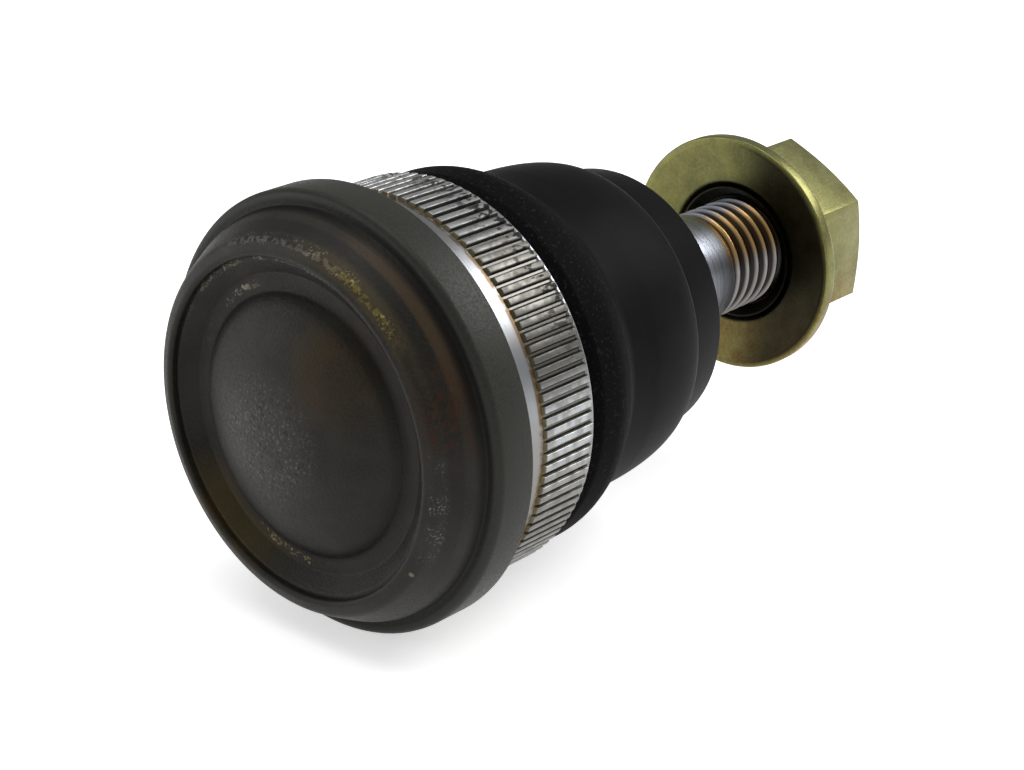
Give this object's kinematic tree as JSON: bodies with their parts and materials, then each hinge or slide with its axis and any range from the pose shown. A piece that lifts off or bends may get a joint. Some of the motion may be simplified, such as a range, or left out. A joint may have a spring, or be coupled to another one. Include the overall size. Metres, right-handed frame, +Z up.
{
  "type": "suspension ball joint",
  "caption": "Press-in suspension ball joint: serrated flanged housing, rolled cover, preloaded socket, rubber dust boot, swinging taper stud with hex nut and captive washer.",
  "frame": {"origin": "centre of the ball, on the axis of the press band", "axes": "+Y along the stud towards the nut, cover faces -Y, +Z up, +X to the right seen from the cover"},
  "size_m": [0.0505, 0.0941, 0.0504],
  "materials": {
    "housing_steel": "phosphated forging with a bare machined press band",
    "cover_steel": "phosphated and oiled pressed steel",
    "spring_steel": "oiled spring steel",
    "bearing_acetal": "moulded and greased",
    "ring_steel": "black phosphated steel strip",
    "boot_rubber": "moulded rubber, satin",
    "stud_steel": "turned and rolled, bare",
    "nut_zinc": "yellow passivated zinc"
  },
  "bodies": {
    "housing": {"housing": "housing_steel", "cover_plate": "cover_steel", "preload_spring": "spring_steel", "upper_bearing": "bearing_acetal"},
    "socket": {"lower_bearing": "bearing_acetal", "boot_ring": "ring_steel", "dust_boot": "boot_rubber"},
    "neck": {"neck_ring": "spring_steel"},
    "stud": {"ball_stud": "stud_steel"},
    "washer": {"nut_washer": "nut_zinc"},
    "nut": {"hex_nut": "nut_zinc"}
  },
  "joints": [
    {"name": "swing_direction", "type": "hinge", "parent": "housing", "child": "socket", "pos_m": [0, 0, 0], "axis": [0, 1, 0], "continuous": true},
    {"name": "stud_swing", "type": "hinge", "parent": "socket", "child": "neck", "pos_m": [0, 0, 0], "axis": [1, 0, 0], "range_deg": [-25, 25], "deforming": ["dust_boot"]},
    {"name": "stud_turn", "type": "hinge", "parent": "neck", "child": "stud", "pos_m": [0, 0, 0], "axis": [0, 1, 0], "continuous": true},
    {"name": "nut_travel", "type": "slide", "parent": "stud", "child": "washer", "axis": [0, 1, 0], "range_m": [-0.0085, 0.008]},
    {"name": "nut_turn", "type": "hinge", "parent": "washer", "child": "nut", "pos_m": [0, 0, 0], "axis": [0, 1, 0], "range_deg": [-1535, 1445]}
  ],
  "couplings": [
    {"joint": "nut_turn", "follows": "nut_travel", "rad_per_m": 3141.6}
  ]
}
